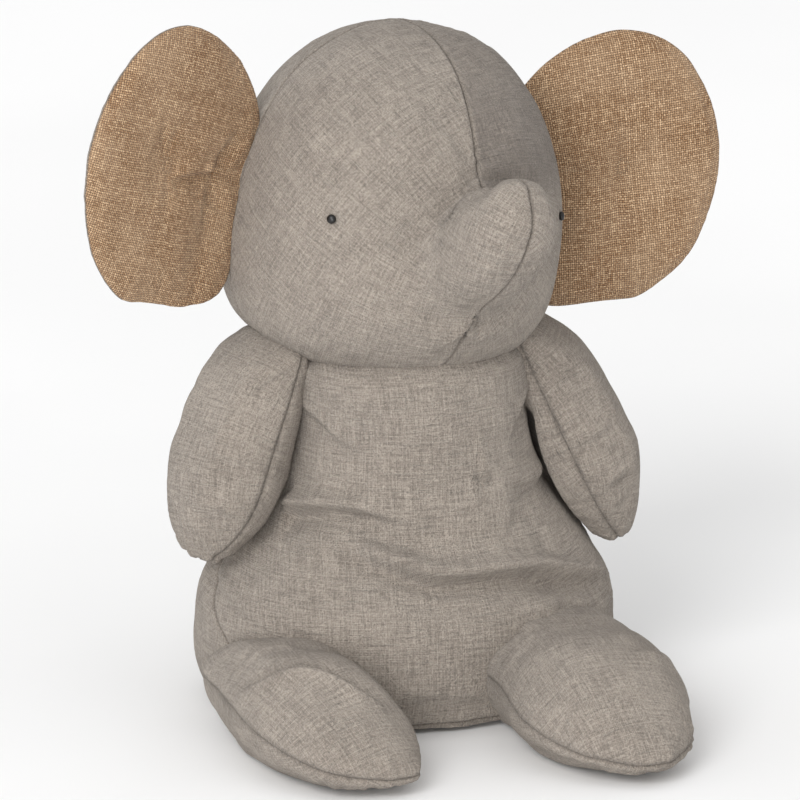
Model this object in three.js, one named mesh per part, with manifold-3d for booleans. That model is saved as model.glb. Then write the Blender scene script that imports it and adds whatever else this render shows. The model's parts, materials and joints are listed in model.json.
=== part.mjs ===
// A seated stuffed elephant, sewn from linen panels over fibre stuffing.
// Millimetres, +Z up. The origin is the middle of the flat seat, and the toy faces -Y.
// "right" and "left" are the elephant's own: its right side is at -X.
import * as THREE from "three";
import { mergeVertices } from "three/addons/utils/BufferGeometryUtils.js";
import Module from "manifold-3d";

const wasm = await Module();
wasm.setup();

// Fabric and fits
const LINEN = 1.0; // thickness of the sewn cloth
const SEAM_GAP = 0.4; // between the edges of two panels in a seam
const FILL_GAP = 0.35; // between a panel and the stuffing behind it
const LIMB_CLEARANCE = 2.0; // between a sewn-on limb and the torso
const NECK_GAP = 0.6; // between the head's underside and the top of the torso

// Torso: a pear shape with a flat seat
const SEAT_RADIUS = 76;
const HIP_RADIUS = 97;
const HIP_HEIGHT = 36;
const CHEST_RADIUS = 56;
const CHEST_HEIGHT = 132;
const NECK_RADIUS = 55;
const NECK_HEIGHT = 168;
const HIP_DEPTH = 0.8; // front to back over side to side, at the hips
const NECK_DEPTH = 0.95; // the same at the neck
const SEAT_SEAM_HEIGHT = 12;
const SIDE_SEAM_Y = -20; // the side seams lie forward of the middle
const PELLET_BAG_TOP = 30;

// Head: an egg that is full at the cheeks and is cut flat at the neck
const HEAD_RADIUS = 84;
const HEAD_ABOVE = 100; // from its widest level up to the crown
const HEAD_BELOW = 68; // from its widest level down to the chin, before the neck is cut
const CROWN_POWER = 2.1;
const CHEEK_POWER = 2.8;
const HEAD_RISE = 57; // from the neck up to the head's widest level
const HEAD_SET_BACK = 12; // the head's middle lies behind the neck's
const HEAD_SHIFT = 9; // the head sits a little to the right of the torso's middle
const HEAD_TURN = 12; // degrees, towards the elephant's left
const HEAD_TILT = 7; // degrees, left ear down
const EAR_SEAM_Y = 10; // the ear-to-ear seam over the crown, behind the head's middle

// Trunk: a ball in the face that runs out into a curled horn
const TRUNK_PIVOT = new THREE.Vector3(0, -60, -12); // from the head's middle
const TRUNK_BALL = 34;
const TRUNK_LENGTH = 90; // along its curve, from the pivot to the tip
const TRUNK_TIP = 17;
const TRUNK_BEND = 105; // degrees of curl between the pivot and the tip
const TRUNK_SLIMNESS = 0.94; // side to side over front to back
const TRUNK_CLEARANCE = 1.5;
const TRUNK_SWINGS = [-5, 7, 18, 30]; // degrees pulled down; the face is cut clear of all of them

// Eyes
const EYE_RADIUS = 2.3;
const EYE_ROUND = 51.5; // degrees round from the face's middle
const EYE_ABOVE = 16; // above the head's widest level

// Ears: a tan front, a grey back and thin wadding between them
const EAR_WIDTH = 100;
const EAR_ABOVE = 70; // from the ear's middle level to its top
const EAR_BELOW = 68;
const EAR_ROOT_TOP = 40; // the sewn root runs from here...
const EAR_ROOT_BOTTOM = -58; // ...down to here
const EAR_WADDING = 5;
const EAR_FORWARD = 10; // degrees that an ear is swept forward
const EAR_LEAN = 12; // degrees that its root leans in at the top
const EAR_ROUND = 97; // degrees round from the face's middle to the root
const EAR_RISE = 22; // the ear's middle level above the head's widest level
const EAR_ROOT_RADIUS = 80; // the root's distance from the head's middle
const EAR_CLEARANCE = 5;

// Arms: flat at the sewn root and full at the paw
const ARM_LENGTH = 100;
const ARM_HALF_WIDTH = 28;
const ARM_HALF_THICKNESS = 18.5;
const ARM_ROOT_HALF_WIDTH = 24;
const ARM_ROOT_HALF_THICKNESS = 7;
const ARM_SPLAY = 23; // degrees out from straight down
const ARM_FORWARD = 8; // degrees that the paw hangs forward
const ARM_TOE_IN = 14; // degrees that the front edge turns to the belly
const SHOULDER = new THREE.Vector3(61.5, 2, 159);

// Legs: forward along the floor
const LEG_LENGTH = 134;
const LEG_HALF_WIDTH = 36;
const LEG_HALF_HEIGHT = 24;
const LEG_FLAT = 1.5; // pressed off the underside by the floor
const LEG_HIDDEN = 14; // of its length, behind the hip's crease
const HIP_CREASE = new THREE.Vector3(0, -60, 45); // where the legs' tops meet the belly
const LEG_FROM_MIDDLE = { right: 76, left: 52 }; // the toy sits with its right leg further out
const LEG_TOE_OUT = 1; // degrees
const LEG_SEAM_BELOW = 4; // the seam between top and sole, below the leg's middle

// Tail
const TAIL_LENGTH = 58;
const TAIL_RADIUS = 5.5;
const TAIL_HEIGHT = 62;
const TAIL_LEAN = 16; // degrees out from straight down
const TAIL_CLEARANCE = 0.6;

const GREY_LINEN = new THREE.MeshStandardMaterial({ color: 0xa39889, roughness: 0.95, metalness: 0 });
const TAN_WEAVE = new THREE.MeshStandardMaterial({ color: 0xa9825c, roughness: 0.95, metalness: 0 });
const WHITE_FIBRE = new THREE.MeshStandardMaterial({ color: 0xeeeae2, roughness: 1, metalness: 0 });
const PELLET_CLOTH = new THREE.MeshStandardMaterial({ color: 0xd8d2c4, roughness: 0.9, metalness: 0 });
const BLACK_BEAD = new THREE.MeshStandardMaterial({ color: 0x17130f, roughness: 0.3, metalness: 0 });

const degrees = THREE.MathUtils.degToRad;
const smooth = THREE.MathUtils.smoothstep;
const lerp = THREE.MathUtils.lerp;

// ---- Solids ----

function solid(geometry) {
  const bare = geometry.index ? geometry.toNonIndexed() : geometry.clone();
  for (const name of Object.keys(bare.attributes)) if (name !== "position") bare.deleteAttribute(name);
  const merged = mergeVertices(bare, 1e-4);
  const triangles = [];
  for (let i = 0; i < merged.index.count; i += 3) {
    const [a, b, c] = [0, 1, 2].map((k) => merged.index.getX(i + k));
    if (a !== b && b !== c && c !== a) triangles.push(a, b, c);
  }
  return new wasm.Manifold(
    new wasm.Mesh({
      numProp: 3,
      vertProperties: merged.attributes.position.array,
      triVerts: new Uint32Array(triangles),
    }),
  );
}

function geometryOf(made) {
  const mesh = made.getMesh();
  const points = new Float32Array(mesh.numVert * 3);
  for (let i = 0; i < mesh.numVert; i++) {
    points.set(mesh.vertProperties.subarray(i * mesh.numProp, i * mesh.numProp + 3), i * 3);
  }
  const geometry = new THREE.BufferGeometry();
  geometry.setAttribute("position", new THREE.BufferAttribute(points, 3));
  geometry.setIndex(new THREE.BufferAttribute(mesh.triVerts, 1));
  geometry.computeVertexNormals();
  return geometry;
}

function piece(name, made, material) {
  const mesh = new THREE.Mesh(geometryOf(made), material);
  mesh.name = name;
  return mesh;
}

// A block that reaches from low to high along one axis and far past everything on the others.
const FAR = 600;
function slab(axis, low, high) {
  const size = new THREE.Vector3(FAR, FAR, FAR);
  size[axis] = high - low;
  const middle = new THREE.Vector3();
  middle[axis] = (low + high) / 2;
  return new THREE.BoxGeometry(size.x, size.y, size.z).translate(middle.x, middle.y, middle.z);
}
const above = (axis, level) => solid(slab(axis, level + SEAM_GAP / 2, FAR));
const below = (axis, level) => solid(slab(axis, -FAR, level - SEAM_GAP / 2));

// A body of revolution about +Z whose points are then moved by shape.
function lathe(outline, around, shape = () => {}) {
  const geometry = new THREE.LatheGeometry(outline, around).rotateX(Math.PI / 2);
  const place = geometry.attributes.position;
  const point = new THREE.Vector3();
  for (let i = 0; i < place.count; i++) {
    point.fromBufferAttribute(place, i);
    shape(point);
    place.setXYZ(i, point.x, point.y, point.z);
  }
  return geometry;
}

// An outline from the lower pole to the upper one, made of two quarter superellipses.
function egg(radius, up, down, powerUp, powerDown, steps) {
  const points = [];
  for (let i = -steps; i <= steps; i++) {
    const turn = (Math.abs(i) / steps) * (Math.PI / 2);
    const power = i < 0 ? powerDown : powerUp;
    const reach = Math.cos(turn) ** (2 / power) * radius;
    const rise = Math.sin(turn) ** (2 / power) * (i < 0 ? -down : up);
    points.push(new THREE.Vector2(Math.abs(i) === steps ? 0 : reach, rise));
  }
  return points;
}

// The cloth shell of a form and the stuffing inside it, from a function of the inset.
function sewn(form) {
  return {
    outside: solid(form(0)),
    cloth: solid(form(0)).subtract(solid(form(LINEN))),
    stuffing: solid(form(LINEN + FILL_GAP)),
  };
}

// ---- Torso ----

const TORSO_AROUND = 26;
const TORSO_STEPS = 5;

function torsoOutline(inset, top) {
  const path = new THREE.Path();
  path.moveTo(0, inset);
  path.lineTo(SEAT_RADIUS - inset, inset);
  path.bezierCurveTo(
    lerp(SEAT_RADIUS, HIP_RADIUS, 0.8) - inset, inset,
    HIP_RADIUS - inset, HIP_HEIGHT * 0.4,
    HIP_RADIUS - inset, HIP_HEIGHT,
  );
  path.bezierCurveTo(
    HIP_RADIUS - inset, lerp(HIP_HEIGHT, CHEST_HEIGHT, 0.35),
    CHEST_RADIUS + 4 - inset, lerp(HIP_HEIGHT, CHEST_HEIGHT, 0.6),
    CHEST_RADIUS - inset, CHEST_HEIGHT,
  );
  path.lineTo(NECK_RADIUS - inset, top);
  path.lineTo(0, top);
  return path.getPoints(TORSO_STEPS);
}

const depthAt = (z) => lerp(HIP_DEPTH, NECK_DEPTH, smooth(z, HIP_HEIGHT, NECK_HEIGHT));

function torsoForm(inset, top = NECK_HEIGHT) {
  return lathe(torsoOutline(inset, top), TORSO_AROUND, (p) => {
    p.y *= depthAt(p.z);
  });
}

// The torso grown by the limbs' clearance, in a limb's own frame: the limb is cut to follow it.
function grownTorso(limb) {
  limb.updateMatrix();
  return solid(torsoForm(-LIMB_CLEARANCE, FAR).applyMatrix4(limb.matrix.clone().invert()));
}

function makeTorso() {
  const group = new THREE.Group();
  const openAtNeck = (inset) => (inset ? torsoForm(inset, NECK_HEIGHT + 1) : torsoForm(0));
  const cloth = solid(torsoForm(0)).subtract(solid(openAtNeck(LINEN)));
  const stuffing = solid(torsoForm(LINEN + FILL_GAP));
  const upper = cloth.intersect(above("z", SEAT_SEAM_HEIGHT));
  const back = upper.intersect(above("y", SIDE_SEAM_Y));
  group.add(
    piece("torso_front", upper.intersect(below("y", SIDE_SEAM_Y)), GREY_LINEN),
    piece("torso_back_right", back.intersect(below("x", 0)), GREY_LINEN),
    piece("torso_back_left", back.intersect(above("x", 0)), GREY_LINEN),
    piece("seat_panel", cloth.intersect(below("z", SEAT_SEAM_HEIGHT)), GREY_LINEN),
    piece("torso_stuffing", stuffing.intersect(above("z", PELLET_BAG_TOP)), WHITE_FIBRE),
    piece("pellet_bag", stuffing.intersect(below("z", PELLET_BAG_TOP)), PELLET_CLOTH),
  );
  return group;
}

// ---- Head ----

const HEAD_AROUND = 22;
const HEAD_STEPS = 6;
const NECK_TO_HEAD = new THREE.Vector3(0, HEAD_SET_BACK, HEAD_RISE);
const HEAD_PLACE = new THREE.Vector3(-HEAD_SHIFT, 0, NECK_HEIGHT + NECK_GAP);
const HEAD_REST = new THREE.Euler(0, degrees(HEAD_TILT), degrees(HEAD_TURN), "ZYX");

// Everything on the head's own side of the flat neck, in the head's own frame.
function overNeck() {
  const turnedBack = new THREE.Matrix4().makeRotationFromEuler(HEAD_REST).invert();
  return solid(slab("z", 0, FAR).applyMatrix4(turnedBack));
}

function headForm(inset) {
  const outline = egg(
    HEAD_RADIUS - inset, HEAD_ABOVE - inset, HEAD_BELOW - inset, CROWN_POWER, CHEEK_POWER, HEAD_STEPS,
  );
  return lathe(outline, HEAD_AROUND).translate(...NECK_TO_HEAD);
}

const onHead = (x, y, z) => new THREE.Vector3(x, y, z).add(NECK_TO_HEAD);

// The distance from the head's upright axis to its surface at a height above its widest level.
function headRadiusAt(rise) {
  const share = rise > 0 ? (rise / HEAD_ABOVE) ** CROWN_POWER : (-rise / HEAD_BELOW) ** CHEEK_POWER;
  return HEAD_RADIUS * (1 - share) ** (1 / (rise > 0 ? CROWN_POWER : CHEEK_POWER));
}

// Everywhere that the trunk reaches as it swings, with its clearance, in the head's frame.
function trunkSwing() {
  return TRUNK_SWINGS.map((angle) => {
    const grown = trunkForm(-TRUNK_CLEARANCE).rotateX(degrees(angle));
    return solid(grown.translate(...TRUNK_PIVOT.clone().add(NECK_TO_HEAD)));
  }).reduce((all, one) => all.add(one));
}

function makeHead() {
  const group = new THREE.Group();
  const { cloth, stuffing } = sewn(headForm);
  const hollow = trunkSwing();
  const skin = cloth.intersect(overNeck()).subtract(hollow);
  const seam = HEAD_SET_BACK + EAR_SEAM_Y;
  const [face, nape] = [skin.intersect(below("y", seam)), skin.intersect(above("y", seam))];
  group.add(
    piece("head_front_right", face.intersect(below("x", 0)), GREY_LINEN),
    piece("head_front_left", face.intersect(above("x", 0)), GREY_LINEN),
    piece("head_back_right", nape.intersect(below("x", 0)), GREY_LINEN),
    piece("head_back_left", nape.intersect(above("x", 0)), GREY_LINEN),
    piece("head_stuffing", stuffing.intersect(overNeck()).subtract(hollow), WHITE_FIBRE),
  );
  for (const [side, sign] of [["right", -1], ["left", 1]]) {
    const out = headRadiusAt(EYE_ABOVE) + EYE_RADIUS * 0.6 + FILL_GAP;
    const turn = degrees(EYE_ROUND);
    const bead = lathe(egg(EYE_RADIUS, EYE_RADIUS * 0.6, EYE_RADIUS * 0.6, 2, 2, 3), 12);
    const eye = piece(`eye_${side}`, solid(bead), BLACK_BEAD);
    eye.position.copy(onHead(sign * out * Math.sin(turn), -out * Math.cos(turn), EYE_ABOVE));
    eye.rotation.set(degrees(90 - 14), 0, sign * turn, "ZXY");
    group.add(eye);
  }
  return group;
}

// ---- Trunk ----

const TRUNK_AROUND = 14;

// The trunk's curve lies in the face's middle plane: straight out, then an even curl upwards.
function trunkPoint(along) {
  const radius = TRUNK_LENGTH / degrees(TRUNK_BEND);
  const turn = Math.max(along, 0) / radius;
  const back = Math.min(along, 0);
  return {
    place: new THREE.Vector3(0, -radius * Math.sin(turn) - back, radius * (1 - Math.cos(turn))),
    up: new THREE.Vector3(0, Math.sin(turn), Math.cos(turn)),
  };
}

function trunkForm(inset) {
  const outline = [new THREE.Vector2(0, inset - TRUNK_BALL)];
  for (const turn of [30, 60]) {
    const ball = TRUNK_BALL - inset;
    outline.push(new THREE.Vector2(ball * Math.sin(degrees(turn)), -ball * Math.cos(degrees(turn))));
  }
  for (const share of [0.08, 0.4, 0.75]) {
    const radius = lerp(TRUNK_BALL, TRUNK_TIP, share ** 1.15);
    outline.push(new THREE.Vector2(radius - inset, share * (TRUNK_LENGTH - TRUNK_TIP)));
  }
  for (const turn of [0, 35, 65, 90]) {
    const tip = TRUNK_TIP - inset;
    const reach = turn === 90 ? 0 : tip * Math.cos(degrees(turn));
    outline.push(new THREE.Vector2(reach, TRUNK_LENGTH - TRUNK_TIP + tip * Math.sin(degrees(turn))));
  }
  return lathe(outline, TRUNK_AROUND, (p) => {
    const { place, up } = trunkPoint(p.z);
    const across = p.y;
    const slim = lerp(1, TRUNK_SLIMNESS, smooth(p.z, 0, TRUNK_LENGTH / 2));
    p.set(p.x * slim, 0, 0).addScaledVector(up, across).add(place);
  });
}

function makeTrunk() {
  const group = new THREE.Group();
  group.position.copy(TRUNK_PIVOT).add(NECK_TO_HEAD);
  const { cloth, stuffing } = sewn(trunkForm);
  group.add(
    piece("trunk_right", cloth.intersect(below("x", 0)), GREY_LINEN),
    piece("trunk_left", cloth.intersect(above("x", 0)), GREY_LINEN),
    piece("trunk_stuffing", stuffing, WHITE_FIBRE),
  );
  return group;
}

// ---- Ears ----

// The ear's outline, with its root on the left edge and x running out from the head.
function earShape() {
  const shape = new THREE.Shape();
  shape.moveTo(0, EAR_ROOT_BOTTOM);
  shape.bezierCurveTo(EAR_WIDTH * 0.15, -EAR_BELOW, EAR_WIDTH * 0.3, -EAR_BELOW, EAR_WIDTH * 0.42, -EAR_BELOW);
  shape.bezierCurveTo(EAR_WIDTH * 0.8, -EAR_BELOW, EAR_WIDTH, -EAR_BELOW * 0.5, EAR_WIDTH, EAR_ABOVE * 0.1);
  shape.bezierCurveTo(EAR_WIDTH, EAR_ABOVE * 0.65, EAR_WIDTH * 0.8, EAR_ABOVE, EAR_WIDTH * 0.55, EAR_ABOVE);
  shape.bezierCurveTo(EAR_WIDTH * 0.32, EAR_ABOVE, EAR_WIDTH * 0.2, EAR_ABOVE * 0.75, 0, EAR_ROOT_TOP);
  shape.lineTo(0, EAR_ROOT_BOTTOM);
  return shape;
}

// One layer of the ear, between two depths behind its front face.
function earLayer(front, depth) {
  const layer = new THREE.ExtrudeGeometry(earShape(), { depth, bevelEnabled: false, curveSegments: 6 });
  // The outline's plane becomes X and Z, and the layer's depth runs backwards along +Y.
  return layer.rotateX(Math.PI / 2).translate(0, front + depth, 0);
}

function makeEar(side, sign) {
  const turn = degrees(EAR_ROUND);
  const group = new THREE.Group();
  group.position.copy(
    onHead(sign * EAR_ROOT_RADIUS * Math.sin(turn), -EAR_ROOT_RADIUS * Math.cos(turn), EAR_RISE),
  );
  group.rotation.set(0, sign * degrees(-EAR_LEAN), sign * degrees(-EAR_FORWARD), "ZYX");
  group.updateMatrix();
  // The head, grown by the clearance, in the ear's own frame: the root is cut to follow it.
  const near = solid(headForm(-EAR_CLEARANCE).applyMatrix4(group.matrix.clone().invert()));
  const thick = EAR_WADDING + 2 * (LINEN + FILL_GAP);
  const layers = [
    ["front", -thick / 2, LINEN, TAN_WEAVE],
    ["wadding", -EAR_WADDING / 2, EAR_WADDING, WHITE_FIBRE],
    ["back", thick / 2 - LINEN, LINEN, GREY_LINEN],
  ];
  for (const [name, front, depth, material] of layers) {
    const layer = earLayer(front, depth);
    // The right ear is the left one's mirror image, so its triangles are turned round too.
    const plate = sign > 0 ? solid(layer) : solid(layer).mirror([1, 0, 0]);
    group.add(piece(`ear_${side}_${name}`, plate.subtract(near), material));
  }
  return group;
}

// ---- Arms ----

const LIMB_AROUND = 14;

// A limb's outline for a lathe: a flat root and a round end, both on the axis.
function limbOutline(length, inset, round) {
  const points = [new THREE.Vector2(0, inset), new THREE.Vector2(1, inset)];
  for (const share of [0.25, 0.5]) points.push(new THREE.Vector2(1, lerp(inset, length - round, share)));
  for (const turn of [0, 25, 48, 70, 90]) {
    const reach = turn === 90 ? 0 : Math.cos(degrees(turn));
    points.push(new THREE.Vector2(reach, length - round + (round - inset) * Math.sin(degrees(turn))));
  }
  return points;
}

function armForm(inset) {
  const outline = limbOutline(ARM_LENGTH, inset, ARM_HALF_WIDTH * 1.15);
  return lathe(outline, LIMB_AROUND, (p) => {
    const grown = smooth(p.z, 0, ARM_LENGTH * 0.5);
    p.x *= lerp(ARM_ROOT_HALF_THICKNESS, ARM_HALF_THICKNESS, grown) - inset;
    p.y *= lerp(ARM_ROOT_HALF_WIDTH, ARM_HALF_WIDTH, grown) - inset;
  }).rotateX(Math.PI); // the arm runs down from its root
}

function makeArm(side, sign) {
  const group = new THREE.Group();
  group.position.set(sign * SHOULDER.x, SHOULDER.y, SHOULDER.z);
  group.rotation.set(degrees(-ARM_FORWARD), sign * degrees(-ARM_SPLAY), sign * degrees(-ARM_TOE_IN), "YXZ");
  const near = grownTorso(group);
  const { cloth, stuffing } = sewn(armForm);
  const [skin, filling] = [cloth.subtract(near), stuffing.subtract(near)];
  const [outer, inner] = sign > 0 ? [above, below] : [below, above];
  group.add(
    piece(`arm_${side}_outer`, skin.intersect(outer("x", 0)), GREY_LINEN),
    piece(`arm_${side}_inner`, skin.intersect(inner("x", 0)), GREY_LINEN),
    piece(`arm_${side}_stuffing`, filling, WHITE_FIBRE),
  );
  return group;
}

// ---- Legs ----

function legForm(inset) {
  const outline = limbOutline(LEG_LENGTH, inset, LEG_HALF_WIDTH * 0.95);
  return lathe(outline, LIMB_AROUND, (p) => {
    const grown = smooth(p.z, 0, LEG_LENGTH * 0.4);
    p.x *= lerp(LEG_HALF_WIDTH * 0.86, LEG_HALF_WIDTH, grown) - inset;
    p.y *= lerp(LEG_HALF_HEIGHT * 0.9, LEG_HALF_HEIGHT, grown) - inset;
    p.y = Math.max(p.y, inset + LEG_FLAT - LEG_HALF_HEIGHT); // flat where it lies on the floor
  })
    .rotateX(Math.PI / 2) // the leg runs forward, along -Y
    .translate(0, LEG_HIDDEN, LEG_HALF_HEIGHT - LEG_FLAT - HIP_CREASE.z);
}

function makeLeg(side, sign) {
  const group = new THREE.Group();
  group.position.set(sign * LEG_FROM_MIDDLE[side], HIP_CREASE.y, HIP_CREASE.z);
  group.rotation.z = sign * degrees(LEG_TOE_OUT);
  const near = grownTorso(group);
  const { cloth, stuffing } = sewn(legForm);
  const [skin, filling] = [cloth.subtract(near), stuffing.subtract(near)];
  const seam = LEG_HALF_HEIGHT - LEG_FLAT - LEG_SEAM_BELOW - HIP_CREASE.z;
  group.add(
    piece(`leg_${side}_top`, skin.intersect(above("z", seam)), GREY_LINEN),
    piece(`leg_${side}_sole`, skin.intersect(below("z", seam)), GREY_LINEN),
    piece(`leg_${side}_stuffing`, filling, WHITE_FIBRE),
  );
  return group;
}

// ---- Tail ----

function makeTail() {
  const outline = egg(TAIL_RADIUS, TAIL_LENGTH / 2, TAIL_LENGTH / 2, 3, 3, 4);
  const form = lathe(outline, 10, (p) => {
    const down = 0.5 - p.z / TAIL_LENGTH;
    p.x *= lerp(1, 0.7, down);
    p.y *= lerp(1, 0.7, down);
    p.z -= TAIL_LENGTH / 2;
  });
  const tail = piece("tail", solid(form), GREY_LINEN);
  const hipSlope = torsoBackAt(TAIL_HEIGHT);
  tail.position.set(0, hipSlope + TAIL_RADIUS + TAIL_CLEARANCE, TAIL_HEIGHT);
  tail.rotation.x = degrees(TAIL_LEAN);
  return tail;
}

// How far back the torso reaches at a height, read off its own outline.
function torsoBackAt(height) {
  const outline = torsoOutline(0, NECK_HEIGHT);
  const next = outline.findIndex((p, i) => i > 0 && p.y >= height);
  const [low, high] = [outline[next - 1], outline[next]];
  const radius = lerp(low.x, high.x, (height - low.y) / (high.y - low.y));
  return radius * depthAt(height);
}

// ---- The elephant ----

const elephant = new THREE.Group();
elephant.name = "stuffed_elephant";

const head = makeHead();
head.position.copy(HEAD_PLACE);
head.rotation.copy(HEAD_REST);
head.add(makeTrunk(), makeEar("right", -1), makeEar("left", 1));

elephant.add(
  makeTorso(),
  head,
  makeArm("right", -1),
  makeArm("left", 1),
  makeLeg("right", -1),
  makeLeg("left", 1),
  makeTail(),
);

export default elephant;
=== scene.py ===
"""A seated stuffed elephant sewn from washed grey linen, with tan woven ears.

Lengths are millimetres until a mesh is made, and metres in the materials. +Z is up and the toy
faces -Y. Turns round it are measured from its front and are positive towards its left, +X.
"""

import json
import math
from contextlib import contextmanager

import bmesh
import bpy
import numpy as np
from mathutils import Matrix, Vector, noise
from mathutils.kdtree import KDTree


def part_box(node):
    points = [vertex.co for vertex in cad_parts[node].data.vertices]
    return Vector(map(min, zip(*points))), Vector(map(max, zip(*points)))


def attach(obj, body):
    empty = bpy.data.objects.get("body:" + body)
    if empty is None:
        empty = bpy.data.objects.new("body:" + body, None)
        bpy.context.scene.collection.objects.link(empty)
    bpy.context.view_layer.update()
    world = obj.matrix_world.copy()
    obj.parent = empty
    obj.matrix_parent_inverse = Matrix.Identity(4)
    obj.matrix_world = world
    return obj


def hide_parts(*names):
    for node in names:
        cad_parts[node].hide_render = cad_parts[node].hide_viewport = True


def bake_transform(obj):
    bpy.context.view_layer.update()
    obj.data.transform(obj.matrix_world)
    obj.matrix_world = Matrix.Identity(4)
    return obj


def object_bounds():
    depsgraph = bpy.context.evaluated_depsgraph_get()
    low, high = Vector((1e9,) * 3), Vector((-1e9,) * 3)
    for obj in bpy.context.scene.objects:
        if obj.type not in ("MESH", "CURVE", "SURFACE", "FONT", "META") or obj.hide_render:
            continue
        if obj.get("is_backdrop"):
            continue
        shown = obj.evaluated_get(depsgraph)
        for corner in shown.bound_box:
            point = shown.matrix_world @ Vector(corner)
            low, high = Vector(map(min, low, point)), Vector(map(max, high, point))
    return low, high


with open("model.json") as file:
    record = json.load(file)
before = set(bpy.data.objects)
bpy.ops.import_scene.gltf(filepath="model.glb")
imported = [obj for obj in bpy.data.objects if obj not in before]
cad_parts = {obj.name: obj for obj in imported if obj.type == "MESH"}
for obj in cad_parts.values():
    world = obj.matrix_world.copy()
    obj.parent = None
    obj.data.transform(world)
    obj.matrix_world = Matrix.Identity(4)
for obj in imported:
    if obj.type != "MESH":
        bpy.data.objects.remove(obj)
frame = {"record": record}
cad_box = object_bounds()
bodies = frame["record"]["behaviour"]["bodies"]
scene = bpy.context.scene

MM = 0.001
CLOTH_CELL = 2.6  # edge length of the cloth before its last subdivision
SIDES = (("right", -1), ("left", 1))  # each side's name and the sign of its x

# ---- The camera: far off, a little to the toy's right and a little above it ----

VIEW_AZIMUTH = -18.0
VIEW_ELEVATION = 16.0
VIEW_DISTANCE = 6000.0
VIEW_WIDTH = 381.6  # what the picture's width covers at the toy's axis
VIEW_RIGHT = -3.8  # the picture's middle, from the seat's middle
VIEW_UP = 137.4


def link(name, data):
    obj = bpy.data.objects.new(name, data)
    scene.collection.objects.link(obj)
    return obj


def direction(azimuth, elevation):
    a, e = math.radians(azimuth), math.radians(elevation)
    return np.array([math.sin(a) * math.cos(e), -math.cos(a) * math.cos(e), math.sin(e)])


def make_camera():
    back = direction(VIEW_AZIMUTH, VIEW_ELEVATION)
    right = direction(VIEW_AZIMUTH + 90, 0)
    up = np.cross(back, right)
    middle = right * VIEW_RIGHT + up * VIEW_UP
    camera = link("camera", bpy.data.cameras.new("camera"))
    turn = Matrix([right, up, back]).transposed().to_4x4()
    camera.matrix_world = Matrix.Translation((middle + back * VIEW_DISTANCE) * MM) @ turn
    camera.data.lens = camera.data.sensor_width * VIEW_DISTANCE / VIEW_WIDTH
    camera.data.clip_end = 20
    scene.camera = camera


make_camera()
scene.view_settings.view_transform = "Standard"

# ---- Points, curves and noise ----


def smooth(x, low, high):
    t = np.clip((np.asarray(x, float) - low) / (high - low), 0, 1)
    return t * t * (3 - 2 * t)


def mix(a, b, t):
    return a + (b - a) * t


def through(stations, x):
    """A smooth curve through rows of (x, value...): one array of the values at each x."""
    rows = np.asarray(stations, float)
    grid = rows[:, 0]
    x = np.clip(np.asarray(x, float), grid[0], grid[-1])
    out = []
    for column in rows[:, 1:].T:
        slope = np.gradient(column, grid)
        # Keep the curve from overshooting where it turns.
        step = np.diff(column) / np.diff(grid)
        for i in range(1, len(grid) - 1):
            if step[i - 1] * step[i] <= 0:
                slope[i] = 0
        i = np.clip(np.searchsorted(grid, x, side="right") - 1, 0, len(grid) - 2)
        width = grid[i + 1] - grid[i]
        t = (x - grid[i]) / width
        out.append(
            (2 * t**3 - 3 * t**2 + 1) * column[i]
            + (t**3 - 2 * t**2 + t) * width * slope[i]
            + (3 * t**2 - 2 * t**3) * column[i + 1]
            + (t**3 - t**2) * width * slope[i + 1]
        )
    return out[0] if len(out) == 1 else np.stack(out, -1)


def grain(points, size, seed=0.0):
    """Coherent noise from -1 to 1 over points, with features of about size."""
    shifted = np.asarray(points, float) / size + seed * 17.3
    return np.array([noise.noise(Vector(p)) for p in shifted])


def rotation(axis, angle):
    return np.array(Matrix.Rotation(math.radians(angle), 3, axis))


def running_length(points):
    """How far each point of a line lies along it."""
    return np.concatenate([[0], np.cumsum(np.linalg.norm(np.diff(points, axis=0), axis=1))])


def circle(count):
    """Turns for one ring, without the last one that would repeat the first."""
    return np.linspace(0, 2 * math.pi, count + 1)[:-1]


# ---- Meshes ----


def new_object(name, points, faces, panels=None, uvs=None):
    mesh = bpy.data.meshes.new(name)
    mesh.from_pydata((np.asarray(points) * MM).tolist(), [], faces)
    if panels is not None:
        mesh.polygons.foreach_set("material_index", panels)
    if uvs is not None:
        layer = mesh.uv_layers.new(name="cloth")
        layer.data.foreach_set("uv", np.concatenate(uvs).ravel())
    shade_smooth(mesh)
    return link(name, mesh)


def shade_smooth(mesh):
    mesh.polygons.foreach_set("use_smooth", [True] * len(mesh.polygons))


@contextmanager
def editing(obj):
    """Opens a piece's mesh for changes and puts the changed mesh back."""
    bm = bmesh.new()
    bm.from_mesh(obj.data)
    yield bm
    bm.to_mesh(obj.data)
    bm.free()
    shade_smooth(obj.data)


def points_of(obj):
    points = np.empty(len(obj.data.vertices) * 3)
    obj.data.vertices.foreach_get("co", points)
    return points.reshape(-1, 3) / MM


def move_to(obj, points):
    obj.data.vertices.foreach_set("co", (np.asarray(points) * MM).ravel())
    obj.data.update()


def normals_of(obj):
    normals = np.empty(len(obj.data.vertices) * 3)
    obj.data.vertex_normals.foreach_get("vector", normals)
    return normals.reshape(-1, 3)


def evaluated(obj):
    return obj.evaluated_get(bpy.context.evaluated_depsgraph_get())


def with_modifier(obj, kind, **settings):
    modifier = obj.modifiers.new(kind.lower(), kind)
    for key, value in settings.items():
        setattr(modifier, key, value)
    made = bpy.data.meshes.new_from_object(evaluated(obj))
    obj.modifiers.clear()
    old, obj.data = obj.data, made
    bpy.data.meshes.remove(old)
    shade_smooth(made)
    return obj


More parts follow.
